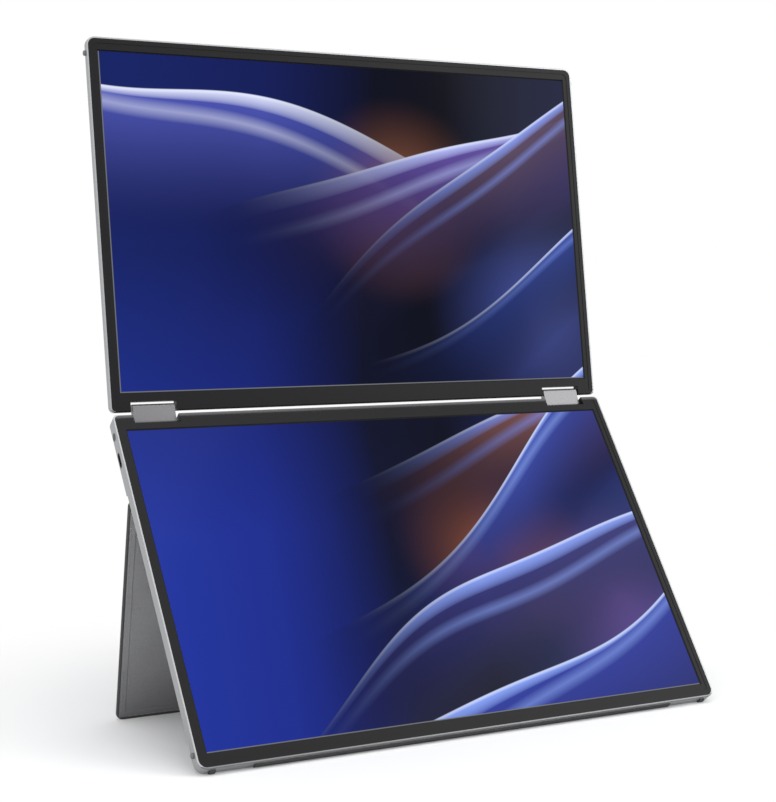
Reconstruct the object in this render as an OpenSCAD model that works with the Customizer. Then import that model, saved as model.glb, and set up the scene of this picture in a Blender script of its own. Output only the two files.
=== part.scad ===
// Folding portable monitor with two screens, one above the other, standing on
// its lower panel's bottom edge and on a fold-out stand. The screens face -Y.
// Each panel is drawn in its own frame, upright, with its front face at y = 0,
// its depth along +Y and its bottom edge at z = 0, and is then leaned back.

/* [Panels] */
// Width of both panels
panel_w = 314.6; // [270:1:400]
// Height of each panel, from its bottom edge to its top edge
panel_h = 207; // [204:1:280]
// Radius of the panels' outer corners seen from the front
corner_r = 5; // [4:0.5:9]
// Radius of the panels' corners beside the hinge
hinge_corner_r = 3; // [2.8:0.1:4]
// Thickness of the upper panel
upper_t = 5.4; // [5.4:0.1:8]
// Thickness of the lower panel's upper zone, where the boards are
lower_t = 9.5; // [9.4:0.1:13]
// Thickness of the lower panel behind the folded stand
thin_t = 6.3; // [5.8:0.1:6.4]
// Height of the thick zone, measured down from the lower panel's top edge
thick_h = 47; // [45:1:60]
// Wall thickness of the metal rear covers
wall = 0.9; // [0.7:0.05:1]
// Radius of the rear covers' back edges
back_r = 2.2; // [1.4:0.1:2.6]
// Rounding of the rear covers' front edge
edge_r = 0.35; // [0.1:0.05:0.5]

/* [Screens] */
// Border at each side of both screens
side_border = 6.5; // [5.8:0.1:10]
// Border above the lower screen, which clears the hinge
top_border = 10; // [9.5:0.1:14]
// Border under the upper screen, which clears the hinge
upper_border = 10.8; // [10.3:0.1:14]
// Border under the lower screen
lower_border = 8.5; // [5:0.1:9]
// Thickness of each screen with its backing
screen_t = 1.5; // [1:0.1:1.7]
// Unlit edge of each screen, hidden behind the bezel
screen_edge = 1.4; // [0.8:0.1:1.8]
// Thickness of the bezel inside its rim
bezel_t = 0.85; // [0.6:0.05:1]
// Width of the raised rim round the bezel
rim_w = 2.5; // [1.5:0.1:3]
// Height of the rim above the bezel
rim_proud = 0.25; // [0.1:0.05:0.4]
// Slope width of the bezel's inner edge
bevel_w = 0.5; // [0.2:0.1:0.8]
// Thickness of the stiffening frame behind each screen
frame_t = 0.6; // [0.4:0.05:0.8]

/* [Pose] */
// Lean of the lower panel from upright, in degrees
lean_lower = 37; // [30:0.5:44]
// Lean of the upper panel from upright, in degrees
lean_upper = 8.5; // [0:0.5:16]
// Opening of the stand from the back of the lower panel, in degrees
stand_open = 50; // [46:0.5:56]

/* [Hinge] */
// Width of each hinge block
hinge_w = 24; // [18:0.5:32]
// Distance from a panel's side edge to the middle of its hinge block
hinge_inset = 24.9; // [22:0.1:40]
// Gap at each side of a hinge block in its notch
notch_side = 1.25; // [0.5:0.05:2]
// Gap past the round end of a hinge block in its notch
notch_end = 1.2; // [0.5:0.05:1.6]
// Distance of each hinge axis inside its panel's edge
axis_in = 2.4; // [2.2:0.05:2.5]
// Rounding of both panels' front edges along the hinge, which lets them pass each other
hinge_round_r = 1; // [0.9:0.05:1.1]
// Gap between the two front faces when the panels are folded shut
shut_gap = 0.8; // [0.7:0.05:2]
// Radius of the four hinge shafts
shaft_r = 0.9; // [0.8:0.02:0.94]
// Radial running gap of shafts and pins
run_gap = 0.03; // [0.02:0.005:0.05]
// Number of teeth on each timing gear
gear_teeth = 10; // [8:1:12]
// Thickness of a hinge block's shell round its gears
block_wall = 0.35; // [0.3:0.05:0.5]
// Length of the steel bracket that holds each shaft, along the axis
bracket_w = 16; // [10:1:24]

/* [Stand] */
// Thickness of the covered stand board
stand_t = 2.9; // [2.6:0.1:3]
// Gap between the folded stand and the lower panel
stand_gap = 0.3; // [0.3:0.05:0.5]
// How far the stand stays inside the panel's side edges
stand_side = 0; // [0:0.1:5]
// Open gap above the stand's top edge, which shows the hinge arms
stand_down = 2.4; // [0:0.1:3]
// Corner radius of the stand
stand_corner_r = 4; // [3:0.5:8]
// Width of the stitched hem round the stand
hem_w = 5; // [3:0.5:8]
// Distance from a side edge to the middle of each stand hinge
stand_hinge_inset = 47; // [42:1:80]
// Length of the middle knuckle of each stand hinge
knuckle_w = 14; // [8:1:20]
// Radius of the stand's hinge pins
stand_pin_r = 0.75; // [0.6:0.05:0.8]

/* [Ports and button] */
// Distance of the ports and the button behind the front face
port_depth = 5.05; // [5:0.05:5.3]
// Width of the reversible data socket
socket_w = 8.94; // [8.5:0.01:9.2]
// Height of the reversible data socket
socket_h = 3.26; // [3:0.01:3.4]
// Width of the video socket
video_w = 11.2; // [10.4:0.1:12]
// Distance of the left socket below the panel's top edge
left_socket_down = 26; // [24:0.5:30]
// Distance of the right socket below the panel's top edge
right_socket_down = 18; // [17:0.5:19]
// Distance of the video socket below the panel's top edge
video_down = 33; // [32:0.5:35]
// Distance of the power button below the panel's top edge
button_down = 11.2; // [11:0.1:13]
// Radius of the power button
button_r = 2.1; // [1.6:0.1:2.3]
// Travel of the power button
button_travel = 0.4; // [0.2:0.05:0.5]
// Radius of the tripod bush's tapped hole, at the thread's core
tripod_r = 2.55; // [2.5:0.01:2.6]
// Depth of the tripod bush's hole
tripod_depth = 4.4; // [4:0.1:4.8]

/* [Feet] */
// Radius of the small rubber bumpers
bumper_r = 1.5; // [1:0.1:1.8]
// How far a bumper stands out of its wall
bumper_proud = 1.2; // [0.6:0.1:1.6]
// Distance of the side bumpers from the panels' outer corners
bumper_in = 9; // [9:0.5:20]
// Length of the rubber foot strip under the lower panel
strip_l = 254; // [150:1:258]
// Height of the rubber foot strip
strip_h = 0.7; // [0.5:0.1:0.9]
// Height of the rubber pads at the lower corners, which carry the weight
pad_h = 1; // [1:0.1:2.8]
// How much of each foot's lowest corner is cut flat for the table
foot_cut = 0.45; // [0.3:0.05:0.6]

/* [Hidden] */
$fn = 64;
over = 1;
fit = 0.05;

// Lit area of each screen
screen_w = panel_w - 2 * side_border;
screen_h = panel_h - lower_border - top_border;

// Depths of the layers behind each front face
bezel_back = rim_proud + bezel_t;
screen_back = bezel_back + screen_t;
frame_back = screen_back + frame_t;
thick_z = panel_h - thick_h;

// Gear train between the two axes of a hinge block: two pinions, two idlers
axis_gap = (lower_t + upper_t) / 2 + shut_gap;
gear_count = 4;
gear_r = axis_gap / (2 * (gear_count - 1));
tooth_share = 0.13;
slack_share = 0.045;
gear_outer_r = gear_r * (1 + tooth_share - slack_share);
gear_room = 0.15;
pocket_r = gear_outer_r + gear_room;
barrel_r = pocket_r + block_wall;
gear_l = 3;
cap_t = 1;
gear_start = cap_t + 2 * gear_room;
pocket_l = gear_start + gear_l + 2 * gear_room;
idler_pin_r = 0.42;
idler_pin_seat = 1.6;
shaft_blind = 3;

// Places of the hinge, measured in a frame on a panel's hinge edge
hinge_x = panel_w / 2 - hinge_inset;
notch_w = hinge_w + 2 * notch_side;
notch_d = axis_in + barrel_r + notch_end;
link_lean = (lean_lower + lean_upper) / 2;
tenths = 10;
frame_start = (ceil(tenths * (notch_d + wall)) + tenths / 2) / tenths;
bracket_lip = 0.6;
bracket_x = hinge_x - notch_w / 2 - wall - bracket_w;
leaf_t = 0.8;
leaf_l = 14;
hinge_screw_r = 0.65;
hinge_screw_head_r = 1.3;
hinge_screw_head_h = 0.35;

// Stand hinge in the lower panel's frame, and the stand's own sizes
stand_axis_y = thin_t + stand_gap + stand_t / 2;
step_gap = 0.35;
stand_axis_z = thick_z - step_gap - stand_t / 2 - stand_down;
stand_w = panel_w - 2 * stand_side;
stand_net = stand_open - lean_lower;
stand_foot_h = 1.6;
skin_t = 0.85;
hem_proud = 0.25;
hem_seam = 0.4;
board_inset = 2;
knuckle_side = 8;
knuckle_gap = 0.3;
stand_leaf_l = 20;
stand_x = panel_w / 2 - stand_hinge_inset;
stand_hinge_w = knuckle_w + 2 * (knuckle_gap + knuckle_side);
arm_t = 1.4;
arm_l = 12;
arm_screw_z = [5, 9.5];

// Boards, ports and screws of the lower panel
board_y = port_depth + socket_h / 2;
board_t = 0.8;
board_low_gap = 14;
board_high_gap = 14.5;
board_bottom = thick_z + board_low_gap;
board_top = panel_h - board_high_gap;
left_board_l = 128;
right_board_l = 66;
board_edge = 3;
post_r = 2;
post_bore_r = 0.67;
screw_r = 0.65;
screw_head_r = 1.6;
screw_head_h = 0.45;
socket_l = 7.3;
socket_wall = 0.35;
port_frame = 0.2;
tongue_t = 0.7;
tongue_side = 1.2;
chip_h = 1.2;
shield_h = 1.8;
chip_side = 12;
chip_pitch = 24;
shield_side = 15.3;
ribbon_t = 0.2;
ribbon_w = 26;
ribbon_drop = 8;
link_ribbon_w = 4;
plug_h = 0.9;
plug_l = 4;
button_gap = 0.15;
flange_extra = 0.6;
flange_t = 0.6;
stem_r = 0.9;
stem_l = 2;
switch_size = [2.2, 4.4];
bush_r = 4.4;
bush_flange_r = 6;
bush_flange_t = 0.8;
bush_floor = 0.5;
cover_screw_in = 12;
cover_screw_row_shares = [0.07, 0.4, 0.68];
upper_board_l = 120;
upper_board_h = 16;
upper_board_t = 0.55;
upper_chip_h = 0.5;
upper_board_up = 20;

// Feet and bumpers
strip_t = 3.4;
strip_back = 0.3;
bumper_seat = 0.5;
pad_w = 3.2;
pad_in = 7.8;

// Turns a depth and a height in a leaning panel into a depth and a height
function leaned(y, z, lean) = [y * cos(lean) + z * sin(lean), z * cos(lean) - y * sin(lean)];

strip_y1 = thin_t - strip_back;
pad_low = leaned(strip_y1, -pad_h, lean_lower);
base_z = -pad_low[1] - foot_cut;
lower_axis = leaned(lower_t / 2, panel_h - axis_in, lean_lower);
upper_axis = lower_axis + leaned(0, axis_gap, link_lean);
upper_base = upper_axis - leaned(upper_t / 2, axis_in, lean_upper);
upper_far = upper_base + leaned(upper_t - back_r, panel_h - back_r, lean_upper);
base_y = -(upper_far[0] + back_r + edge_r * (cos(lean_lower) + sin(lean_lower) - 1)) / 2;
stand_axis = leaned(stand_axis_y, stand_axis_z, lean_lower);
stand_axis_up = stand_axis[1] + base_z;
stand_l = (stand_axis_up + foot_cut - stand_t / 2 * sin(stand_net)) / cos(stand_net);

// Placing

module in_lower() {
    translate([0, base_y, base_z]) rotate([-lean_lower, 0, 0]) children();
}

module in_upper() {
    translate([0, base_y + upper_base[0], base_z + upper_base[1]])
        rotate([-lean_upper, 0, 0]) children();
}

// The link frame has the lower axis at its origin and the upper one above it
module in_link() {
    translate([0, base_y + lower_axis[0], base_z + lower_axis[1]])
        rotate([-link_lean, 0, 0]) children();
}

// The stand frame has the hinge axis at its origin and hangs down when shut
module in_stand() {
    in_lower() translate([0, stand_axis_y, stand_axis_z]) rotate([stand_open, 0, 0]) children();
}

// From a frame on the hinge edge, with z into the panel, to the lower panel
module from_top_edge() {
    translate([0, 0, panel_h]) mirror([0, 0, 1]) children();
}

module both_sides() {
    for (m = [0, 1]) mirror([m, 0, 0]) children();
}

module above_table() {
    intersection() {
        children();
        translate([-panel_w, -panel_h * 2, 0]) cube([panel_w * 2, panel_h * 4, panel_h * 4]);
    }
}

// Shared shapes

// Half of a slab's cross-section, out to u, with both edges rounded
module edge_profile(u, y0, y1, front_r, rear_r) {
    square_y = [y0 + front_r, y1 - rear_r];
    translate([0, square_y[0]]) square([u, square_y[1] - square_y[0]]);
    translate([0, y0]) square([u - front_r, y1 - y0 - rear_r]);
    translate([0, square_y[0]]) square([u - rear_r, y1 - square_y[0]]);
    if (front_r > 0) translate([u - front_r, square_y[0]]) circle(front_r);
    if (rear_r > 0) translate([u - rear_r, square_y[1]]) circle(rear_r);
}

// Flat slab from y0 to y1 with round corners and rounded edges
module slab(w, h, radii, y0, y1, front_r, rear_r) {
    translate([0, 0, radii[0]]) linear_extrude(h - radii[0] - radii[1])
        for (m = [0, 1]) mirror([m, 0]) edge_profile(w / 2, y0, y1, front_r, rear_r);
    for (end = [0, 1]) {
        r = radii[end];
        translate([0, 0, h / 2]) rotate([0, -90, 0]) linear_extrude(w - 2 * r, center = true)
            mirror([1 - end, 0]) edge_profile(h / 2, y0, y1, front_r, rear_r);
        for (x = [-1, 1]) translate([x * (w / 2 - r), 0, end == 0 ? r : h - r]) rotate([-90, 0, 0])
            rotate_extrude() intersection() {
                edge_profile(r, y0, y1, front_r, rear_r);
                translate([0, y0]) square([r, y1 - y0]);
            }
    }
}

// Raises a flat outline in x and z to a plate from y0 to y1
module plate(y0, y1) {
    translate([0, y1, 0]) rotate([90, 0, 0]) linear_extrude(y1 - y0) children();
}

module round_rect(w, z0, z1, radii) {
    middle = (z0 + z1) / 2;
    translate([-w / 2, z0 + radii[0]]) square([w, z1 - z0 - radii[0] - radii[1]]);
    translate([radii[0] - w / 2, z0]) square([w - 2 * radii[0], middle - z0]);
    translate([radii[1] - w / 2, middle]) square([w - 2 * radii[1], z1 - middle]);
    for (x = [-1, 1]) {
        translate([x * (w / 2 - radii[0]), z0 + radii[0]]) circle(radii[0]);
        translate([x * (w / 2 - radii[1]), z1 - radii[1]]) circle(radii[1]);
    }
}

// Corner radii of a form that lies k inside a panel: at the hinge edge, then at the outer edge
function corners_in(k) = [hinge_corner_r - k, corner_r - k];
// The same for the lower panel's own frame, whose hinge edge is its top
function low_corners_in(k) = [corner_r - k, hinge_corner_r - k];

module box(x0, x1, y0, y1, z0, z1) {
    translate([x0, y0, z0]) cube([x1 - x0, y1 - y0, z1 - z0]);
}

// Cylinder along +X from x0 to x1
module rod(r, x0, x1) {
    translate([x0, 0, 0]) rotate([0, 90, 0]) cylinder(r = r, h = x1 - x0);
}

// Cylinder along +Y from y0 to y1
module post(r, y0, y1) {
    translate([0, y0, 0]) rotate([-90, 0, 0]) cylinder(r = r, h = y1 - y0);
}

// Round-ended slot of size w by h in the wall, along +X from x0 to x1
module slot(w, h, x0, x1) {
    for (s = [-1, 1]) translate([0, 0, s * (w - h) / 2]) rod(h / 2, x0, x1);
    box(x0, x1, -h / 2, h / 2, -(w - h) / 2, (w - h) / 2);
}

// Two round ends at the hinge axes joined by a flat-sided middle
module stadium(r, x0, x1) {
    rod(r, x0, x1);
    translate([0, 0, axis_gap]) rod(r, x0, x1);
    box(x0, x1, -r, r, 0, axis_gap);
}

// Covers

// Room of a hinge notch, and of the walls that line it
module notch(extra, y0, y1) {
    both_sides() box(hinge_x - notch_w / 2 - extra, hinge_x + notch_w / 2 + extra,
        y0, y1, -over, notch_d + extra);
}

// Where the bezel reaches over the wall along the hinge edge
module hinge_edge_step() {
    half = panel_w / 2 - hinge_corner_r;
    box(-half, half, -over, bezel_back, -over, wall + fit);
}

module shaft_holes(t) {
    both_sides() translate([0, t / 2, axis_in])
        rod(shaft_r + run_gap, hinge_x - notch_w / 2 - wall - fit, hinge_x);
}

// What the rounded front edge along the hinge takes away
module hinge_edge_round() difference() {
    box(-panel_w, panel_w, -over, hinge_round_r, -over, hinge_round_r);
    translate([0, hinge_round_r, hinge_round_r]) rod(hinge_round_r, -panel_w - over, panel_w + over);
}

module hinge_edge_cuts(t) {
    notch(0, -over, t + over);
    hinge_edge_step();
    hinge_edge_round();
    shaft_holes(t);
}

module bumper_holes(z) {
    both_sides() translate([panel_w / 2, 0, z]) rod(bumper_r, -bumper_seat, over);
}

module upper_rear_cover() color([0.68, 0.69, 0.71]) in_upper() difference() {
    slab(panel_w, panel_h, corners_in(0), 0, upper_t, edge_r, back_r);
    difference() {
        translate([0, 0, wall]) slab(panel_w - 2 * wall, panel_h - 2 * wall, corners_in(wall),
            -over, upper_t - wall, 0, back_r - wall);
        notch(wall, bezel_back, upper_t + over);
    }
    hinge_edge_cuts(upper_t);
    translate([0, upper_t / 2, 0]) bumper_holes(panel_h - bumper_in);
}

// Outer or inner form of the lower cover: a thin slab and a thicker top zone
module lower_form(k, front, front_r) {
    step_r = lower_t - thin_t;
    w = panel_w - 2 * k;
    h = panel_h - 2 * k;
    translate([0, 0, k]) slab(w, h, low_corners_in(k), front, thin_t - k, front_r, 0);
    intersection() {
        translate([0, 0, k]) slab(w, h, low_corners_in(k), front, lower_t - k, front_r, back_r - k);
        union() {
            box(-panel_w, panel_w, front - over, lower_t, thick_z + step_r, panel_h);
            translate([0, thin_t, thick_z + step_r]) rod(step_r - k, -panel_w, panel_w);
            box(-panel_w, panel_w, front - over, thin_t, thick_z + k, panel_h);
        }
    }
}

module board_post_places() {
    z = [board_bottom + board_edge, board_top - board_edge];
    left = -panel_w / 2 + wall;
    right = panel_w / 2 - wall;
    for (zz = z, x = [left + socket_l + board_edge * 2, left + left_board_l - board_edge])
        translate([x, 0, zz]) children();
    for (zz = z, x = [right - socket_l - board_edge * 2, right - right_board_l + board_edge])
        translate([x, 0, zz]) children();
}

module cover_screw_places() {
    xs = [-panel_w / 2 + cover_screw_in, 0, panel_w / 2 - cover_screw_in];
    for (x = xs, share = cover_screw_row_shares) translate([x, 0, panel_h * share]) children();
}

module port_hole(w, h, side, down) {
    x0 = panel_w / 2 - wall - over;
    mirror([side < 0 ? 1 : 0, 0, 0]) translate([0, port_depth, panel_h - down])
        slot(w + 2 * port_frame, h + 2 * port_frame, x0, panel_w / 2 + over);
}

module stand_arm_slots() {
    both_sides() box(stand_x - knuckle_w / 2 - fit, stand_x + knuckle_w / 2 + fit,
        lower_t - wall - arm_t - fit, lower_t - wall, thick_z - over, thick_z + arm_l);
}

module arm_screw_places() {
    both_sides() for (z = arm_screw_z) translate([stand_x, 0, stand_axis_z + stand_down + z]) children();
}

module lower_rear_cover() color([0.68, 0.69, 0.71]) in_lower() difference() {
    union() {
        difference() {
            lower_form(0, 0, edge_r);
            difference() {
                lower_form(wall, -over, 0);
                from_top_edge() notch(wall, bezel_back, lower_t + over);
            }
        }
        board_post_places() post(post_r, board_y + board_t, lower_t - wall + fit);
    }
    from_top_edge() hinge_edge_cuts(lower_t);
    board_post_places() post(post_bore_r, board_y + board_t - over, lower_t - wall);
    cover_screw_places() {
        post(screw_head_r + fit, thin_t - screw_head_h, thin_t + over);
        post(screw_r + fit, thin_t - wall - over, thin_t);
    }
    port_hole(socket_w, socket_h, -1, left_socket_down);
    port_hole(socket_w, socket_h, 1, right_socket_down);
    port_hole(video_w, socket_h, 1, video_down);
    translate([-panel_w / 2, port_depth, panel_h - button_down])
        rod(button_r + button_gap, -over, wall + over);
    stand_arm_slots();
    arm_screw_places() post(hinge_screw_r, lower_t - wall - over, lower_t - wall / 2);
    translate([0, 0, panel_h - thick_h / 2]) post(bush_r, lower_t - wall - over, lower_t + over);
    translate([0, thin_t / 2, 0]) bumper_holes(bumper_in);
    foot_blanks(-over, -over);
}

// Front layers

// Outline of a bezel, which runs out to the hinge edge at z = 0
module bezel_outline() {
    k = wall + fit;
    half = panel_w / 2 - hinge_corner_r - fit;
    round_rect(panel_w - 2 * k, k, panel_h - k, corners_in(k));
    translate([-half, 0]) square([2 * half, hinge_corner_r]);
}

module bezel(border) {
    k = wall + fit + rim_w;
    difference() {
        union() {
            plate(rim_proud, bezel_back) bezel_outline();
            plate(0, rim_proud) difference() {
                bezel_outline();
                round_rect(panel_w - 2 * k, rim_w, panel_h - k, corners_in(k / 2));
            }
        }
        window(border);
        notch(0, -over, bezel_back + over);
        hinge_edge_round();
    }
}

// Sloped opening over the lit area
module window(border) {
    thin = bezel_t / 100;
    hull() for (s = [[rim_proud - bevel_w, bevel_w * 2], [bezel_back + thin, 0]])
        translate([-screen_w / 2 - s[1], s[0], border - s[1]])
            cube([screen_w + 2 * s[1], thin, screen_h + 2 * s[1]]);
}

module screen(border) {
    plate(bezel_back, screen_back) round_rect(screen_w + 2 * screen_edge,
        border - screen_edge, border + screen_h + screen_edge, [screen_edge, screen_edge]);
}

// The stiffening frame stops short of the hinge zone at z = 0
module stiff_frame() {
    k = wall + run_gap * 10;
    plate(screen_back, frame_back)
        round_rect(panel_w - 2 * k, frame_start, panel_h - k, corners_in(k));
}

module upper_bezel() color([0.14, 0.14, 0.15]) in_upper() bezel(upper_border);

module upper_screen() color([0.1, 0.13, 0.45]) in_upper() screen(upper_border);

module upper_frame() color([0.5, 0.51, 0.53]) in_upper() difference() {
    stiff_frame();
    hinge_screw_places() post(hinge_screw_r, screen_back - over, frame_back + over);
}

module lower_bezel() color([0.14, 0.14, 0.15])
    in_lower() from_top_edge() bezel(top_border);

module lower_screen() color([0.1, 0.13, 0.45])
    in_lower() from_top_edge() screen(top_border);

module lower_frame() color([0.5, 0.51, 0.53]) in_lower() difference() {
    union() {
        from_top_edge() stiff_frame();
        cover_screw_places() post(post_r, frame_back - fit, thin_t - wall);
    }
    from_top_edge() hinge_screw_places() post(hinge_screw_r, screen_back - over, frame_back + over);
    cover_screw_places() post(screw_r, frame_back, thin_t);
    ribbon_slot(fit);
    button_room();
}

// Bay in the frame's edge that the button's flange moves in
module button_room() {
    reach = wall + gear_room + flange_t + button_travel + step_gap;
    translate([-panel_w / 2, port_depth, panel_h - button_down])
        rod(button_r + flange_extra + step_gap, 0, reach);
}

// Boards, sockets and screws of the lower panel

left_in = -panel_w / 2 + wall + 2 * gear_room;
right_in = -left_in;
left_end = left_in + left_board_l;
right_start = right_in - right_board_l;
switch_x = -panel_w / 2 + wall + gear_room + flange_t + stem_l + button_travel + gear_room;
ear_edge = 0.8;

module board_holes() {
    board_post_places() post(screw_r, board_y - over, board_y + board_t + over);
}

module main_board() color([0.05, 0.27, 0.16]) in_lower() difference() {
    union() {
        box(left_in, left_end, board_y, board_y + board_t, board_bottom, board_top);
        box(switch_x - ear_edge, switch_x + switch_size[0] + ear_edge, board_y,
            board_y + board_t, board_top - over, panel_h - button_down + board_edge);
    }
    board_holes();
}

module port_board() color([0.05, 0.27, 0.16]) in_lower() difference() {
    union() {
        box(right_start, right_in, board_y, board_y + board_t, board_bottom, board_top);
        box(right_in - socket_l - board_edge * 2, right_in, board_y, board_y + board_t,
            board_top - board_edge - thick_h / 2, board_top);
    }
    board_holes();
}

module chip(x, side, h) {
    z = (board_bottom + board_top) / 2 + over;
    box(x - side / 2, x + side / 2, board_y - h, board_y, z - side / 2, z + side / 2);
}

module board_chips() color([0.09, 0.09, 0.1]) in_lower() {
    chip(left_in + chip_pitch, shield_side, shield_h);
    for (i = [2, 3, 4]) chip(left_in + chip_pitch * i, chip_side, chip_h);
    chip(right_start + chip_pitch, shield_side, shield_h);
}

module board_ribbon() color([0.75, 0.55, 0.2]) in_lower() {
    x0 = left_end - plug_l * 2;
    x1 = right_start + plug_l * 2;
    z0 = board_bottom + fit;
    front = board_y - plug_h;
    for (x = [x0 - plug_l, x1]) box(x, x + plug_l, front, board_y, z0, z0 + link_ribbon_w);
    box(x0 - plug_l, x1 + plug_l, front - ribbon_t, front, z0, z0 + link_ribbon_w);
}

ribbon_x = left_in + chip_pitch * 3;
ribbon_z = board_bottom - ribbon_drop;

module ribbon_slot(k) {
    box(ribbon_x - ribbon_w / 2 - k, ribbon_x + ribbon_w / 2 + k, screen_back - k * over,
        frame_back + k * over, ribbon_z - k, ribbon_z + ribbon_t + k);
}

module screen_ribbon() color([0.75, 0.55, 0.2]) in_lower() {
    x0 = ribbon_x - ribbon_w / 2;
    x1 = ribbon_x + ribbon_w / 2;
    top = board_bottom + plug_h;
    ribbon_slot(0);
    box(x0, x1, frame_back, frame_back + ribbon_t, ribbon_z, top);
    box(x0, x1, frame_back, board_y - plug_h, top - ribbon_t, top);
    box(x0, x1, board_y - plug_h, board_y, board_bottom + fit, top + plug_h);
}

module board_screws() color([0.7, 0.7, 0.72]) in_lower() board_post_places() {
    post(screw_head_r, board_y - screw_head_h, board_y);
    post(screw_r, board_y - fit, lower_t - wall - fit);
}

// Socket whose mouth is at x = 0 and which goes back along -X
module socket(w, h) {
    difference() {
        slot(w, h, -socket_l, 0);
        slot(w - 2 * socket_wall, h - 2 * socket_wall, socket_wall - socket_l, over);
    }
    box(-socket_l, -tongue_side, -tongue_t / 2, tongue_t / 2, tongue_side - w / 2,
        w / 2 - tongue_side);
}

module left_data_socket() color([0.3, 0.31, 0.33]) in_lower()
    translate([-panel_w / 2, port_depth, panel_h - left_socket_down])
    mirror([1, 0, 0]) socket(socket_w, socket_h);

module right_data_socket() color([0.3, 0.31, 0.33]) in_lower()
    translate([panel_w / 2, port_depth, panel_h - right_socket_down]) socket(socket_w, socket_h);

module video_socket() color([0.3, 0.31, 0.33]) in_lower()
    translate([panel_w / 2, port_depth, panel_h - video_down]) socket(video_w, socket_h);

// Button cap, the flange that keeps it in, and the stem that presses the switch
module power_button() color([0.24, 0.24, 0.26]) in_lower()
    translate([-panel_w / 2, port_depth, panel_h - button_down]) {
        x1 = wall + gear_room;
        rod(button_r, -button_gap, x1 + flange_t);
        rod(button_r + flange_extra, x1, x1 + flange_t);
        rod(stem_r, x1, x1 + flange_t + stem_l);
    }

module button_switch() color([0.1, 0.1, 0.11]) in_lower() {
    z = panel_h - button_down;
    box(switch_x, switch_x + switch_size[0], frame_back + gear_room, board_y,
        z - switch_size[1] / 2, z + board_edge - fit);
}

module tripod_bush() color([0.72, 0.6, 0.32]) in_lower()
    translate([0, 0, panel_h - thick_h / 2]) difference() {
        union() {
            post(bush_r, lower_t - tripod_depth - bush_floor, lower_t);
            post(bush_flange_r, lower_t - wall - bush_flange_t, lower_t - wall);
        }
        post(tripod_r, lower_t - tripod_depth, lower_t + over);
    }

module cover_screws() color([0.55, 0.56, 0.58]) in_lower() cover_screw_places() {
    post(screw_head_r, thin_t - screw_head_h, thin_t);
    post(screw_r, frame_back, thin_t - fit);
}

// Feet and bumpers, which sit in shallow recesses of the covers

module side_bumpers(y, z) {
    both_sides() translate([panel_w / 2, y, z]) rod(bumper_r, -bumper_seat, bumper_proud);
}

module lower_side_bumpers() color([0.1, 0.1, 0.1]) in_lower()
    side_bumpers(thin_t / 2, bumper_in);

module upper_side_bumpers() color([0.1, 0.1, 0.1]) in_upper()
    side_bumpers(upper_t / 2, panel_h - bumper_in);

// Strip and corner pads from their seats down to the given depths
module foot_blanks(strip_z, pad_z) {
    y0 = strip_y1 - strip_t;
    box(-strip_l / 2, strip_l / 2, y0, strip_y1, strip_z, bumper_seat);
    both_sides() box(panel_w / 2 - pad_in - pad_w / 2, panel_w / 2 - pad_in + pad_w / 2,
        y0, strip_y1, pad_z, bumper_seat);
}

module bottom_feet() color([0.1, 0.1, 0.1]) above_table() in_lower()
    foot_blanks(-strip_h, -pad_h);

// Hinges: a steel bracket and a shaft in each panel, joined by geared blocks

bracket_l = 18;
bracket_screw_z = [10.5, 15];
bracket_screw_shares = [0.25, 0.75];
bracket_body = shaft_r + bracket_lip;

module hinge_screw_places() {
    both_sides() for (z = bracket_screw_z, share = bracket_screw_shares)
        translate([bracket_x + bracket_w * share, 0, z]) children();
}

module hinge_brackets(t) difference() {
    k = wall + fit;
    intersection() {
        both_sides() {
            box(bracket_x, bracket_x + bracket_w, 0, t / 2 + bracket_body, 0,
                axis_in + bracket_body);
            box(bracket_x, bracket_x + bracket_w, frame_back, frame_back + leaf_t, 0, bracket_l);
        }
        translate([0, 0, k]) slab(panel_w - 2 * k, panel_h - 2 * k, corners_in(k),
            max(t / 2 - bracket_body, bezel_back + fit), t - k, 0, back_r - k);
    }
    both_sides() translate([0, t / 2, axis_in])
        rod(shaft_r, bracket_x - over, bracket_x + bracket_w + over);
    hinge_screw_places() {
        post(hinge_screw_r, frame_back - over, frame_back + leaf_t);
        post(hinge_screw_head_r, frame_back + leaf_t - hinge_screw_head_h,
            frame_back + leaf_t + over);
    }
}

module hinge_screws() hinge_screw_places() {
    post(hinge_screw_head_r, frame_back + leaf_t - hinge_screw_head_h, frame_back + leaf_t);
    post(hinge_screw_r, screen_back + fit, frame_back + leaf_t - fit);
}

module lower_hinge_brackets() color([0.45, 0.46, 0.48])
    in_lower() from_top_edge() hinge_brackets(lower_t);

module upper_hinge_brackets() color([0.45, 0.46, 0.48]) in_upper() hinge_brackets(upper_t);

module lower_hinge_screws() color([0.7, 0.7, 0.72]) in_lower() from_top_edge() hinge_screws();

module upper_hinge_screws() color([0.7, 0.7, 0.72]) in_upper() hinge_screws();

// Tooth outline in angles from the line through the gears' centres
function tooth_wave(phase) = [for (i = [0 : 12 * gear_teeth - 1])
    let (a = i * 30 / gear_teeth, r = gear_r * (1 - slack_share
        + tooth_share * cos(gear_teeth * (a - phase)))) [r * cos(a), r * sin(a)]];

// The teeth of gears 1 and 3 face the valleys of gears 0 and 2
module gear(i) {
    phase = (i % 2) * (180 - 180 / gear_teeth);
    translate([hinge_x - hinge_w / 2 + gear_start + gear_l, 0, 2 * gear_r * i])
        rotate([0, -90, 0]) linear_extrude(gear_l) polygon(tooth_wave(phase));
}

module shaft(i) both_sides() {
    gear(i);
    translate([0, 0, 2 * gear_r * i])
        rod(shaft_r, bracket_x, hinge_x - hinge_w / 2 + pocket_l + shaft_blind);
}

module lower_hinge_shafts() color([0.75, 0.75, 0.77]) in_link() shaft(0);

module upper_hinge_shafts() color([0.75, 0.75, 0.77]) in_link() shaft(gear_count - 1);

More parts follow.
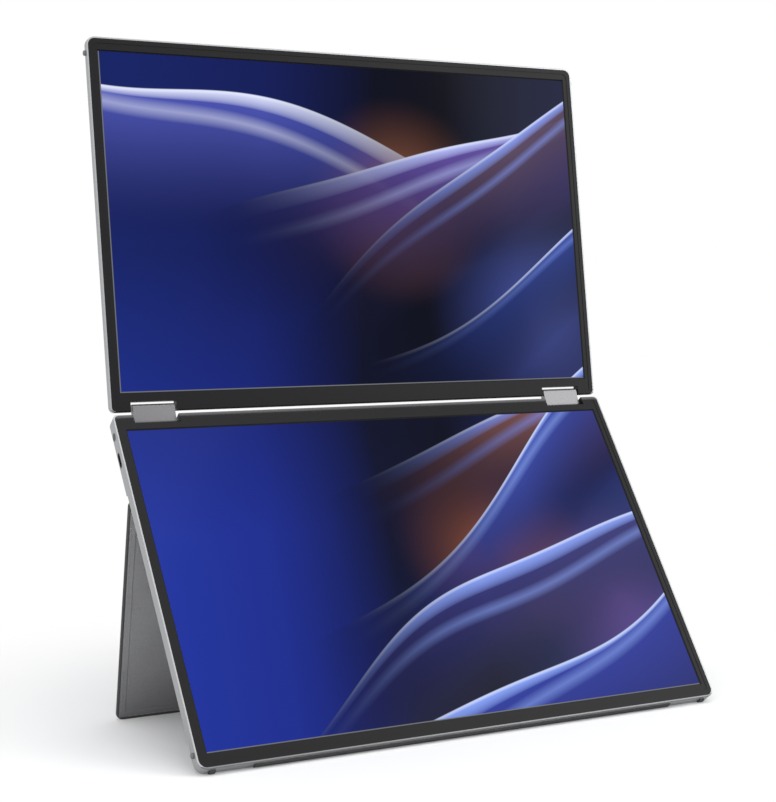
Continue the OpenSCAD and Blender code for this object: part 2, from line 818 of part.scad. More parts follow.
module idler(i) both_sides() difference() {
    gear(i);
    translate([0, 0, 2 * gear_r * i]) rod(idler_pin_r + run_gap, 0, panel_w);
}

module lower_idler_gears() color([0.8, 0.65, 0.35]) in_link() idler(1);

module upper_idler_gears() color([0.8, 0.65, 0.35]) in_link() idler(2);

module idler_pins() color([0.75, 0.75, 0.77]) in_link() both_sides() for (i = [1, 2])
    translate([0, 0, 2 * gear_r * i])
        rod(idler_pin_r, hinge_x - hinge_w / 2, hinge_x - hinge_w / 2 + pocket_l + idler_pin_seat);

module hinge_block() {
    x0 = hinge_x - hinge_w / 2;
    difference() {
        stadium(barrel_r, x0, x0 + hinge_w);
        stadium(pocket_r, x0 - over, x0 + pocket_l);
        for (i = [0, gear_count - 1]) translate([0, 0, 2 * gear_r * i])
            rod(shaft_r + run_gap, x0, x0 + pocket_l + shaft_blind + 2 * gear_room);
        for (i = [1, 2]) translate([0, 0, 2 * gear_r * i])
            rod(idler_pin_r, x0, x0 + pocket_l + idler_pin_seat);
    }
}

module hinge_block_left() color([0.55, 0.56, 0.58]) in_link() mirror([1, 0, 0]) hinge_block();

module hinge_block_right() color([0.55, 0.56, 0.58]) in_link() hinge_block();

module hinge_end_caps() color([0.5, 0.51, 0.53]) in_link() both_sides() difference() {
    x0 = hinge_x - hinge_w / 2;
    stadium(pocket_r, x0, x0 + cap_t);
    for (i = [0, gear_count - 1]) translate([0, 0, 2 * gear_r * i])
        rod(shaft_r + run_gap, x0 - over, x0 + cap_t + over);
    for (i = [1, 2]) translate([0, 0, 2 * gear_r * i])
        rod(idler_pin_r, x0 - over, x0 + cap_t + over);
}

// Upper panel's board, which lies on the frame

module upper_board() color([0.05, 0.27, 0.16]) in_upper()
    box(-upper_board_l / 2, upper_board_l / 2, frame_back, frame_back + upper_board_t,
        upper_board_up, upper_board_up + upper_board_h);

module upper_board_chips() color([0.09, 0.09, 0.1]) in_upper() for (i = [-2 : 2])
    box(chip_pitch * i - chip_side / 2, chip_pitch * i + chip_side / 2,
        frame_back + upper_board_t, frame_back + upper_board_t + upper_chip_h,
        upper_board_up + (upper_board_h - chip_side) / 2,
        upper_board_up + (upper_board_h + chip_side) / 2);

// Stand, in its own frame: hinge axis at the origin, hanging down when shut

// Outline seen from the front, k inside the stand's edges
module stand_outline(k) {
    r = stand_corner_r - k / 2;
    top_r = stand_t / 2;
    w = stand_w - 2 * k;
    round_rect(w, k - stand_l, -stand_l / 2, [r, r]);
    round_rect(w, -stand_l * 3 / 4, top_r - k, [top_r, top_r]);
}

// Solid of the stand between two depths, with its round top end
module stand_solid(k, y0, y1) intersection() {
    plate(y0, y1) stand_outline(k);
    union() {
        box(-stand_w, stand_w, -stand_t, stand_t, -2 * stand_l, 0);
        rod(stand_t / 2, -stand_w, stand_w);
    }
}

module stand_cuts() {
    both_sides() box(stand_x - stand_hinge_w / 2 - fit, stand_x + stand_hinge_w / 2 + fit,
        -stand_t, stand_t, -stand_t / 2 - step_gap, stand_t);
    foot_box();
}

module foot_box() {
    half = stand_w / 2 - stand_corner_r;
    box(-half, half, -stand_t, stand_t, -stand_l - over, stand_foot_h - stand_l);
}

core_y = stand_t / 2 - skin_t;

module leaf_plates() both_sides() box(stand_x - stand_hinge_w / 2, stand_x + stand_hinge_w / 2,
    -leaf_t / 2, leaf_t / 2, -stand_leaf_l, -stand_t / 2);

module stand_board() color([0.3, 0.3, 0.32]) in_stand() difference() {
    stand_solid(board_inset, -core_y, core_y);
    stand_cuts();
    leaf_plates();
}

// Back skin, which wraps round the board's edges
module stand_cover() color([0.42, 0.42, 0.44]) above_table() in_stand() difference() {
    stand_solid(0, -core_y, stand_t / 2 - hem_proud);
    stand_cuts();
    plate(-core_y - over, core_y) stand_outline(board_inset);
}

module stand_lining() color([0.42, 0.42, 0.44]) above_table() in_stand() difference() {
    stand_solid(0, hem_proud - stand_t / 2, -core_y);
    stand_cuts();
}

// Two raised bands on each face, with the stitched seam between them
module stand_hems() color([0.36, 0.36, 0.38]) above_table() in_stand() for (m = [0, 1])
    mirror([0, m, 0]) difference() {
        stand_solid(0, -stand_t / 2, hem_proud - stand_t / 2);
        stand_cuts();
        plate(-stand_t, 0) stand_outline(hem_w);
        plate(-stand_t, 0) difference() {
            stand_outline(hem_w / 2 - hem_seam / 2);
            stand_outline(hem_w / 2 + hem_seam / 2);
        }
    }

module stand_foot() color([0.1, 0.1, 0.1]) above_table() in_stand() intersection() {
    stand_solid(0, -stand_t / 2, stand_t / 2);
    foot_box();
}

module stand_hinge_leaves() color([0.6, 0.6, 0.62]) in_stand() {
    leaf_plates();
    both_sides() for (s = [-1, 1]) {
        x0 = stand_x + s * (knuckle_w / 2 + knuckle_gap + knuckle_side / 2) - knuckle_side / 2;
        difference() {
            union() {
                rod(stand_t / 2, x0, x0 + knuckle_side);
                box(x0, x0 + knuckle_side, -leaf_t / 2, leaf_t / 2, -stand_leaf_l, 0);
            }
            rod(stand_pin_r + run_gap, x0 - over, x0 + knuckle_side + over);
        }
    }
}

module stand_hinge_pins() color([0.75, 0.75, 0.77]) in_stand()
    both_sides() rod(stand_pin_r, stand_x - stand_hinge_w / 2, stand_x + stand_hinge_w / 2);

module stand_hinge_brackets() color([0.45, 0.46, 0.48]) in_lower() difference() {
    both_sides() {
        box(stand_x - knuckle_w / 2, stand_x + knuckle_w / 2, lower_t - wall - arm_t,
            lower_t - wall, stand_axis_z, thick_z + arm_l);
        translate([0, stand_axis_y, stand_axis_z])
            rod(stand_t / 2, stand_x - knuckle_w / 2, stand_x + knuckle_w / 2);
    }
    both_sides() translate([0, stand_axis_y, stand_axis_z]) rod(stand_pin_r, 0, panel_w);
    arm_screw_places() post(hinge_screw_r, 0, lower_t);
}

module stand_hinge_screws() color([0.7, 0.7, 0.72]) in_lower() arm_screw_places() {
    post(hinge_screw_head_r, lower_t - wall - arm_t - hinge_screw_head_h, lower_t - wall - arm_t);
    post(hinge_screw_r, lower_t - wall - arm_t - fit, lower_t - wall / 2);
}

lower_rear_cover();
lower_bezel();
lower_screen();
lower_frame();
main_board();
board_chips();
port_board();
board_ribbon();
screen_ribbon();
board_screws();
left_data_socket();
right_data_socket();
video_socket();
power_button();
button_switch();
tripod_bush();
cover_screws();
lower_side_bumpers();
bottom_feet();
lower_hinge_brackets();
lower_hinge_shafts();
lower_hinge_screws();
stand_hinge_brackets();
stand_hinge_screws();
stand_hinge_pins();
hinge_block_left();
hinge_block_right();
hinge_end_caps();
idler_pins();
lower_idler_gears();
upper_idler_gears();
upper_hinge_shafts();
upper_hinge_brackets();
upper_hinge_screws();
upper_rear_cover();
upper_bezel();
upper_screen();
upper_frame();
upper_board();
upper_board_chips();
upper_side_bumpers();
stand_board();
stand_lining();
stand_cover();
stand_hems();
stand_foot();
stand_hinge_leaves();
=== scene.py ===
from math import atan2, cos, pi, radians, sin

import bpy
from mathutils import Euler, Matrix, Vector


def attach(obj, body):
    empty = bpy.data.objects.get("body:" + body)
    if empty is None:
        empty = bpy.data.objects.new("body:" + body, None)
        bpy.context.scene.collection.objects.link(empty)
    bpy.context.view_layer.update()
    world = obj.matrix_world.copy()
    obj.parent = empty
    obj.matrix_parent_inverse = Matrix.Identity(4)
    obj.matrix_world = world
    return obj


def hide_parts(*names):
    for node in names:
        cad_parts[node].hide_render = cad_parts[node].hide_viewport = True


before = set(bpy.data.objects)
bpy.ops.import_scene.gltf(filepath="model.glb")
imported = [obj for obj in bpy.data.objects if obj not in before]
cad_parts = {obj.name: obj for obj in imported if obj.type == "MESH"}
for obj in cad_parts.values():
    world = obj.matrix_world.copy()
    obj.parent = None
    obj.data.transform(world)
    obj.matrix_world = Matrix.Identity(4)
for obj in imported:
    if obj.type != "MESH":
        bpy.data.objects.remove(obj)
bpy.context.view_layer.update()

bpy.ops.object.select_all(action="DESELECT")
scene = bpy.context.scene

# CAMERA. The photograph was taken from the monitor's left, from a little above the hinges. Its line of sight
# meets the picture right of the middle and below it, which the shift makes up.
picture_side, focal_pixels = 802, 1724.8
picture_middle, sight_pixel = (388, 401), (450, 450)
look_down, look_right = 5.675, 29.038
camera_data = bpy.data.cameras.new("camera")
camera = bpy.data.objects.new("camera", camera_data)
scene.collection.objects.link(camera)
scene.camera = camera
camera_data.sensor_width = 36
camera_data.lens = focal_pixels * camera_data.sensor_width / picture_side
camera_data.shift_x = (picture_middle[0] - sight_pixel[0]) / picture_side
camera_data.shift_y = (sight_pixel[1] - picture_middle[1]) / picture_side
camera_data.clip_start, camera_data.clip_end = 0.05, 50
camera.location = (-0.44926, -0.85956, 0.24274)
camera.rotation_euler = Euler((radians(90 - look_down), 0, radians(-look_right)), "XYZ")
scene.view_settings.view_transform = "Standard"


# STUDIO. A plain white table in a white room. Camera, glossy and transmission rays see plain white, and
# everything else sees the dimmer light that the object is lit with. Near the object the table stays real, so
# that it takes the shadow.
def math(tree, operation, a, b=None, c=None, clamp=False):
    """A Math node's result, from plain numbers or other nodes' results."""
    node = tree.nodes.new("ShaderNodeMath")
    node.operation, node.use_clamp = operation, clamp
    for socket, value in zip(node.inputs, (a, b, c)):
        if value is None:
            continue
        if isinstance(value, (int, float)):
            socket.default_value = value
        else:
            tree.links.new(value, socket)
    return node.outputs[0]


def white_room(tree, surface, target, far=None):
    """Shows white instead of a surface to the three kinds of rays, by how far it is from the object."""
    path = tree.nodes.new("ShaderNodeLightPath")
    glow = tree.nodes.new("ShaderNodeEmission")
    glow.inputs["Color"].default_value = (1, 1, 1, 1)
    seen = path.outputs["Is Camera Ray"]
    for ray in ("Is Glossy Ray", "Is Transmission Ray"):
        seen = math(tree, "MAXIMUM", seen, path.outputs[ray])
    if far is not None:
        seen = math(tree, "MULTIPLY", seen, far)
    mix = tree.nodes.new("ShaderNodeMixShader")
    tree.links.new(seen, mix.inputs[0])
    tree.links.new(surface, mix.inputs[1])
    tree.links.new(glow.outputs[0], mix.inputs[2])
    tree.links.new(mix.outputs[0], target)


world = bpy.data.worlds.new("room")
scene.world = world
world.use_nodes = True
dim = world.node_tree.nodes["Background"]
dim.inputs["Color"].default_value = (0.97, 0.98, 1, 1)
dim.inputs["Strength"].default_value = 0.73
white_room(world.node_tree, dim.outputs[0], world.node_tree.nodes["World Output"].inputs["Surface"])

table_wide, shadow_reach = 8, (0.12, 0.36)
bpy.ops.mesh.primitive_plane_add(size=table_wide, location=(0, 0, 0))
table = bpy.context.object
table.name = "table_top"
table_paint = bpy.data.materials.new("table_paint")
table_paint.use_nodes = True
table_tree = table_paint.node_tree
table_shader = table_tree.nodes["Principled BSDF"]
table_shader.inputs["Base Color"].default_value = (0.93, 0.93, 0.93, 1)
table_shader.inputs["Roughness"].default_value = 0.8
table_shader.inputs["Specular IOR Level"].default_value = 0.2
spot = table_tree.nodes.new("ShaderNodeTexCoord")
reach = table_tree.nodes.new("ShaderNodeVectorMath")
reach.operation = "LENGTH"
table_tree.links.new(spot.outputs["Object"], reach.inputs[0])
fade = table_tree.nodes.new("ShaderNodeMapRange")
fade.interpolation_type = "SMOOTHSTEP"
fade.inputs["From Min"].default_value, fade.inputs["From Max"].default_value = shadow_reach
table_tree.links.new(reach.outputs["Value"], fade.inputs["Value"])
white_room(table_tree, table_shader.outputs[0], table_tree.nodes["Material Output"].inputs["Surface"],
           fade.outputs[0])
table.data.materials.append(table_paint)


def area_lamp(name, place, aim, size, power):
    """A soft rectangular lamp of so many watts, turned towards its aim."""
    data = bpy.data.lights.new(name, "AREA")
    data.shape = "RECTANGLE"
    data.size, data.size_y = size
    data.energy = power
    lamp = bpy.data.objects.new(name, data)
    scene.collection.objects.link(lamp)
    lamp.location = place
    lamp.rotation_euler = (Vector(aim) - Vector(place)).to_track_quat("-Z", "Y").to_euler()


area_lamp("overhead_softbox", (-0.1, -0.2, 1.6), (0, 0, 0.15), (1.4, 1.4), 9)
area_lamp("left_softbox", (-1.5, -0.5, 0.7), (0, 0, 0.15), (0.9, 1.2), 3.8)
area_lamp("right_softbox", (1.25, -1.1, 0.95), (0, 0, 0.2), (0.8, 1.4), 14)


# PANEL FRAMES. Each panel leans back about its bottom edge, and a piece is drawn upright and then leaned:
# x across, y into the panel from its front face, z up from its bottom edge. The lower panel stands on its
# feet, which are cut flat for the table, and its hinges carry the upper panel and the stand.
panel_wide, panel_high, upper_thick = 0.3146, 0.207, 0.0054
thick_back, thin_back, thick_from = 0.0095, 0.0063, 0.16
stand_thick, stand_gap, step_gap, stand_down = 0.0029, 0.0003, 0.00035, 0.0024
lower_lean, upper_lean, stand_lean = 37, 8.5, -13
axis_in, shut_gap, front_round, back_round = 0.0024, 0.0008, 0.00035, 0.0022
foot_back, foot_high, foot_cut = 0.006, 0.001, 0.00045


def leaned(y, z, lean):
    """Where a point of a leaning panel lies, seen from the panel's bottom front edge."""
    return Matrix.Rotation(radians(-lean), 3, "X") @ Vector((0, y, z))


def leaning(foot, lean):
    """The place of a panel, from its bottom front edge and its lean."""
    return Matrix.Translation(foot) @ Matrix.Rotation(radians(-lean), 4, "X")


lower_axis = leaned(thick_back / 2, panel_high - axis_in, lower_lean)
axis_gap, link_lean = (thick_back + upper_thick) / 2 + shut_gap, (lower_lean + upper_lean) / 2
upper_axis = lower_axis + leaned(0, axis_gap, link_lean)
upper_bottom = upper_axis - leaned(upper_thick / 2, axis_in, upper_lean)
upper_far = upper_bottom + leaned(upper_thick - back_round, panel_high - back_round, upper_lean)
front_in = front_round * (cos(radians(lower_lean)) + sin(radians(lower_lean)) - 1)
middle = (upper_far.y + back_round + front_in) / 2
lower_foot = Vector((0, -middle, -leaned(foot_back, -foot_high, lower_lean).z - foot_cut))
upper_foot = lower_foot + upper_bottom
stand_axis = lower_foot + leaned(thin_back + stand_gap + stand_thick / 2,
                                 thick_from - step_gap - stand_thick / 2 - stand_down, lower_lean)
lower_place, upper_place = leaning(lower_foot, lower_lean), leaning(upper_foot, upper_lean)
stand_place = leaning(stand_axis, stand_lean)


def settle(piece, place, body):
    """Writes a piece's place into its mesh, and hangs it on its body."""
    piece.matrix_world = place @ piece.matrix_world
    bpy.ops.object.select_all(action="DESELECT")
    bpy.context.view_layer.objects.active = piece
    piece.select_set(True)
    bpy.ops.object.transform_apply(location=True, rotation=True, scale=True)
    piece.select_set(False)
    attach(piece, body)


def paint(piece, material):
    piece.data.materials.clear()
    piece.data.materials.append(material)


# FINE GRAIN. Blasted metal, moulded plastic, rubber and board lacquer all show a very fine grain and a
# faint cloudiness from handling, so one group gives both to every finish.
def open_sockets(group, side, colors, numbers):
    """Gives a node group its colour sockets and then its number sockets, on its INPUT or OUTPUT side."""
    for label in colors:
        group.interface.new_socket(label, in_out=side, socket_type="NodeSocketColor")
    for label in numbers:
        group.interface.new_socket(label, in_out=side, socket_type="NodeSocketFloat")


grain_group = bpy.data.node_groups.new("fine_grain", "ShaderNodeTree")
open_sockets(grain_group, "INPUT", ("Color",),
             ("Grain Size", "Cloud Size", "Color Shift", "Roughness", "Roughness Shift"))
open_sockets(grain_group, "OUTPUT", ("Color",), ("Roughness", "Height"))


def blend_colors(tree, share, under, over, mode="MIX"):
    """One colour over another by its share, from plain values or other nodes' results."""
    node = tree.nodes.new("ShaderNodeMix")
    node.data_type, node.blend_type = "RGBA", mode
    for socket, value in ((node.inputs["Factor"], share), (node.inputs[6], under), (node.inputs[7], over)):
        if isinstance(value, (int, float)):
            socket.default_value = value
        elif isinstance(value, tuple):
            socket.default_value = (*value, 1)
        else:
            tree.links.new(value, socket)
    return node.outputs[2]


def build_grain(tree):
    new, link = tree.nodes.new, tree.links.new
    ins, outs = new("NodeGroupInput"), new("NodeGroupOutput")
    place = new("ShaderNodeTexCoord")
    grain, cloud = new("ShaderNodeTexNoise"), new("ShaderNodeTexNoise")
    grain.inputs["Detail"].default_value, cloud.inputs["Detail"].default_value = 2, 5
    for texture, size in ((grain, "Grain Size"), (cloud, "Cloud Size")):
        link(place.outputs["Object"], texture.inputs["Vector"])
        link(ins.outputs[size], texture.inputs["Scale"])
    centred = math(tree, "SUBTRACT", math(tree, "ADD", grain.outputs["Fac"], cloud.outputs["Fac"]), 1)
    shade = new("ShaderNodeVectorMath")
    shade.operation = "SCALE"
    link(ins.outputs["Color"], shade.inputs[0])
    link(math(tree, "MULTIPLY_ADD", centred, ins.outputs["Color Shift"], 1), shade.inputs["Scale"])
    link(shade.outputs[0], outs.inputs["Color"])
    rough = math(tree, "MULTIPLY_ADD", centred, ins.outputs["Roughness Shift"], ins.outputs["Roughness"],
                 clamp=True)
    link(rough, outs.inputs["Roughness"])
    link(grain.outputs["Fac"], outs.inputs["Height"])


build_grain(grain_group)


def finish(name, color, roughness, metallic=0.0, grain=4000, cloud=18, tone=0.12, rough_shift=0.12,
           bump=0.15, depth=0.00003, specular=0.5):
    """A material with fine grain: tone and rough_shift are how far colour and roughness wander."""
    material = bpy.data.materials.new(name)
    material.use_nodes = True
    tree = material.node_tree
    shader = tree.nodes["Principled BSDF"]
    group = tree.nodes.new("ShaderNodeGroup")
    group.node_tree = grain_group
    for label, value in (("Grain Size", grain), ("Cloud Size", cloud), ("Color", (*color, 1)),
                         ("Color Shift", tone), ("Roughness", roughness), ("Roughness Shift", rough_shift)):
        group.inputs[label].default_value = value
    relief = tree.nodes.new("ShaderNodeBump")
    relief.inputs["Strength"].default_value = bump
    relief.inputs["Distance"].default_value = depth
    tree.links.new(group.outputs["Color"], shader.inputs["Base Color"])
    tree.links.new(group.outputs["Roughness"], shader.inputs["Roughness"])
    tree.links.new(group.outputs["Height"], relief.inputs["Height"])
    tree.links.new(relief.outputs[0], shader.inputs["Normal"])
    shader.inputs["Metallic"].default_value = metallic
    shader.inputs["Specular IOR Level"].default_value = specular
    return material


# REAR COVERS. One tub each of bead-blasted, anodised silver aluminium. The lower one is thicker in its
# upper zone, which holds the boards, and thin below it, where the stand folds in.
shell_metal = finish("shell_metal", (0.36, 0.365, 0.375), 0.42, metallic=0.85, tone=0.05, rough_shift=0.1,
                     bump=0.12)
rim_wide, rim_deep, rim_shade_share = 0.0016, 0.0007, 0.6
notch_middle, notch_half, notch_deep = 0.1324, 0.01328, 0.00562


def upright_place(tree, foot, lean):
    """Where a point lies in a leaning panel, as its X, Y and Z sockets."""
    spot = tree.nodes.new("ShaderNodeTexCoord")
    upright = tree.nodes.new("ShaderNodeMapping")
    upright.vector_type = "TEXTURE"
    upright.inputs["Location"].default_value = foot
    upright.inputs["Rotation"].default_value = (radians(-lean), 0, 0)
    tree.links.new(spot.outputs["Object"], upright.inputs["Vector"])
    apart = tree.nodes.new("ShaderNodeSeparateXYZ")
    tree.links.new(upright.outputs[0], apart.inputs[0])
    return apart.outputs


def cover_metal(foot, lean, hinge_edge):
    """The covers' metal, with painted shade: near black on the walls of the hinge notches, darker along the
    bottom rim.
    """
    material = shell_metal.copy()
    tree = material.node_tree
    across, deep, up = upright_place(tree, foot, lean)
    # painted shade: the walls of the hinge notches are coloured near black
    aside = math(tree, "ABSOLUTE", math(tree, "SUBTRACT", math(tree, "ABSOLUTE", across), notch_middle))
    inward = math(tree, "ABSOLUTE", math(tree, "SUBTRACT", up, hinge_edge))
    notch = math(tree, "MULTIPLY", math(tree, "LESS_THAN", aside, notch_half),
                 math(tree, "LESS_THAN", inward, notch_deep))
    base = tree.nodes["Principled BSDF"].inputs["Base Color"]
    color = blend_colors(tree, notch, base.links[0].from_socket, (0.012, 0.012, 0.013))
    # painted shade: the front edge of the bottom rim is darkened
    rim = math(tree, "LESS_THAN", deep, rim_deep)
    rim = math(tree, "MULTIPLY", rim, math(tree, "LESS_THAN", up, rim_wide))
    rim = math(tree, "MULTIPLY", rim, rim_shade_share)
    tree.links.new(blend_colors(tree, rim, color, (0.05, 0.05, 0.052)), base)
    return material


for name, foot, lean, hinge_edge in (("lower_rear_cover", lower_foot, lower_lean, panel_high),
                                     ("upper_rear_cover", upper_foot, upper_lean, 0)):
    metal_with_shade = cover_metal(foot, lean, hinge_edge)
    metal_with_shade.name = name + "_metal"
    paint(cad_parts[name], metal_with_shade)

# BEZELS. Moulded black plastic frames with a raised outer rim, bonded inside the covers' front edges. The
# lower one carries a painted highlight, greyer along its rounded hinge edge.
highlight_wide = 0.003
bezel_plastic = finish("bezel_plastic", (0.0085, 0.0085, 0.0095), 0.42, grain=5200, tone=0.25,
                       rough_shift=0.08, bump=0.25, specular=0.15)


def highlit_plastic():
    """The bezel's plastic, with a painted highlight turning it grey towards the lower panel's hinge edge."""
    material = bezel_plastic.copy()
    tree = material.node_tree
    up = upright_place(tree, lower_foot, lower_lean)["Z"]
    # painted highlight: a grey band along the rounded hinge edge
    share = math(tree, "SUBTRACT", up, panel_high - highlight_wide)
    share = math(tree, "DIVIDE", share, highlight_wide, clamp=True)
    base = tree.nodes["Principled BSDF"].inputs["Base Color"]
    tree.links.new(blend_colors(tree, share, base.links[0].from_socket, (0.17, 0.17, 0.175)), base)
    return material


highlit_bezel = highlit_plastic()
highlit_bezel.name = "lower_bezel_plastic"
paint(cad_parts["upper_bezel"], bezel_plastic)
paint(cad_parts["lower_bezel"], highlit_bezel)

# SCREENS. Two glossy glass panels, each lit from behind by its own picture. The picture is a generic one of
# rolling dunes of light, and runs on from the lower panel into the upper one.
screen_wide, screen_high, lower_border, upper_border = 0.3016, 0.1885, 0.0085, 0.0108
picture_gap, edge_glint_wide, crest_thick = 0.0206, 0.0006, 0.0024
edge_sharp, rim_reach, inner_place, inner_sharp, fade_sharp = 1500, 0.12, 0.26, 14, 8

# One wave of light under a swinging crest: a bright rim, a second highlight inside it, then a body that sinks
# from its flank colour to its foot colour and is gone at Reach. It comes up at From and is gone again at To.
wave_shape = ("Height", "Slope", "Swing", "Waves", "Shift", "Reach", "From", "To")
wave_colors = ("Rim", "Flank", "Foot")
wave_group = bpy.data.node_groups.new("light_wave", "ShaderNodeTree")
open_sockets(wave_group, "INPUT", ("Under", *wave_colors), ("Across", "Up", *wave_shape))
open_sockets(wave_group, "OUTPUT", ("Color",), ())


def build_wave(tree):
    ins, outs = tree.nodes.new("NodeGroupInput"), tree.nodes.new("NodeGroupOutput")
    get = ins.outputs
    angle = math(tree, "MULTIPLY_ADD", get["Across"], get["Waves"], get["Shift"])
    both = math(tree, "MULTIPLY_ADD", math(tree, "SINE", math(tree, "MULTIPLY_ADD", angle, 1.7, 1.1)), 0.35,
                math(tree, "SINE", angle))
    crest = math(tree, "MULTIPLY_ADD", both, get["Swing"], get["Height"])
    crest = math(tree, "MULTIPLY_ADD", get["Across"], get["Slope"], crest)
    below = math(tree, "SUBTRACT", crest, get["Up"])
    inside = math(tree, "MULTIPLY", below, edge_sharp, clamp=True)
    share = math(tree, "DIVIDE", below, get["Reach"], clamp=True)
    swell = math(tree, "MULTIPLY_ADD", math(tree, "SINE", math(tree, "MULTIPLY", angle, 0.8)), 0.45, 0.75)
    rim = math(tree, "DIVIDE", share, math(tree, "MULTIPLY", swell, rim_reach))
    rim = math(tree, "POWER", math(tree, "SUBTRACT", 1, rim, clamp=True), 0.65)
    inner = math(tree, "ABSOLUTE", math(tree, "SUBTRACT", share, math(tree, "MULTIPLY", swell, inner_place)))
    inner = math(tree, "SUBTRACT", 1, math(tree, "MULTIPLY", inner, inner_sharp), clamp=True)
    inner = math(tree, "MULTIPLY", inner, 0.4)
    light = math(tree, "MAXIMUM", rim, inner)
    body = blend_colors(tree, math(tree, "POWER", share, 0.7), get["Flank"], get["Foot"])
    body = blend_colors(tree, light, body, get["Rim"])
    crest_line = math(tree, "SUBTRACT", 1, math(tree, "DIVIDE", below, crest_thick), clamp=True)
    crest_share = math(tree, "MULTIPLY", math(tree, "POWER", crest_line, 0.8), 0.75)
    body = blend_colors(tree, crest_share, body, (0.82, 0.88, 1))
    lit_from = math(tree, "ADD", get["From"], 0.02)
    lit = math(tree, "MULTIPLY", math(tree, "SUBTRACT", get["Across"], lit_from), 7, clamp=True)
    body = blend_colors(tree, math(tree, "POWER", lit, 1.3), get["Foot"], body)
    ebb = math(tree, "SUBTRACT", 1, math(tree, "POWER", share, 2.2))
    rise = math(tree, "MULTIPLY", math(tree, "SUBTRACT", get["Across"], get["From"]), fade_sharp, clamp=True)
    sink = math(tree, "MULTIPLY", math(tree, "SUBTRACT", get["To"], get["Across"]), fade_sharp, clamp=True)
    cover = math(tree, "MULTIPLY", math(tree, "MULTIPLY", inside, ebb), math(tree, "MULTIPLY", rise, sink))
    tree.links.new(blend_colors(tree, cover, get["Under"], body), outs.inputs["Color"])


build_wave(wave_group)

# Each wave from the back to the front: its shape in metres up and across the whole picture, in wave_shape's
# order, then its colours at the rim, on the flank and at the foot
waves = (
    ((0.345, -0.36, 0.018, 15, 1.2, 0.085, -0.36, 0.07),
     ((0.74, 0.78, 1.00), (0.08, 0.10, 0.50), (0.004, 0.006, 0.05))),
    ((0.330, 0.42, 0.018, 18, 2.6, 0.075, -0.10, 0.40),
     ((0.50, 0.55, 1.00), (0.13, 0.08, 0.38), (0.003, 0.003, 0.020))),
    ((0.275, 0.74, 0.012, 21, 0.4, 0.060, -0.05, 0.40),
     ((0.26, 0.36, 0.95), (0.12, 0.07, 0.13), (0.003, 0.004, 0.025))),
    ((0.232, 0.40, 0.015, 17, 4.4, 0.055, -0.02, 0.40),
     ((0.18, 0.28, 0.85), (0.02, 0.05, 0.30), (0.003, 0.004, 0.02))),
    ((0.150, 0.52, 0.014, 19, 2.2, 0.075, -0.05, 0.40),
     ((0.24, 0.34, 0.95), (0.24, 0.10, 0.09), (0.003, 0.003, 0.014))),
    ((0.105, 0.58, 0.018, 16, 5.2, 0.075, -0.08, 0.40),
     ((0.30, 0.44, 1.00), (0.05, 0.08, 0.44), (0.005, 0.005, 0.03))),
    ((0.055, 0.44, 0.016, 20, 0.9, 0.070, -0.13, 0.40),
     ((0.28, 0.40, 1.00), (0.045, 0.045, 0.22), (0.004, 0.005, 0.030))),
    ((0.008, 0.40, 0.014, 18, 3.3, 0.080, -0.16, 0.40),
     ((0.28, 0.42, 1.00), (0.025, 0.045, 0.36), (0.008, 0.013, 0.15))),
)

# Soft glows: where they are, how far they reach, and their colour
glows = (((0.030, 0.318), 0.065, (0.28, 0.10, 0.04)), ((0.115, 0.255), 0.075, (0.04, 0.06, 0.26)),
         ((0.050, 0.100), 0.065, (0.30, 0.09, 0.03)), ((0.120, 0.060), 0.070, (0.12, 0.05, 0.20)))


# The night-blue ground from left to right: bright at the left, near black in the middle, dusky at the right
ground_shades = ((0.0, (0.015, 0.037, 0.36)), (0.25, (0.012, 0.026, 0.27)), (0.47, (0.004, 0.006, 0.030)),
                 (0.62, (0.003, 0.004, 0.015)), (0.80, (0.012, 0.018, 0.09)), (1.0, (0.014, 0.024, 0.14)))
ground_wide, ground_middle, ground_tilt, dim_above, dim_rate = 0.32, 0.56, -0.12, 0.12, 6


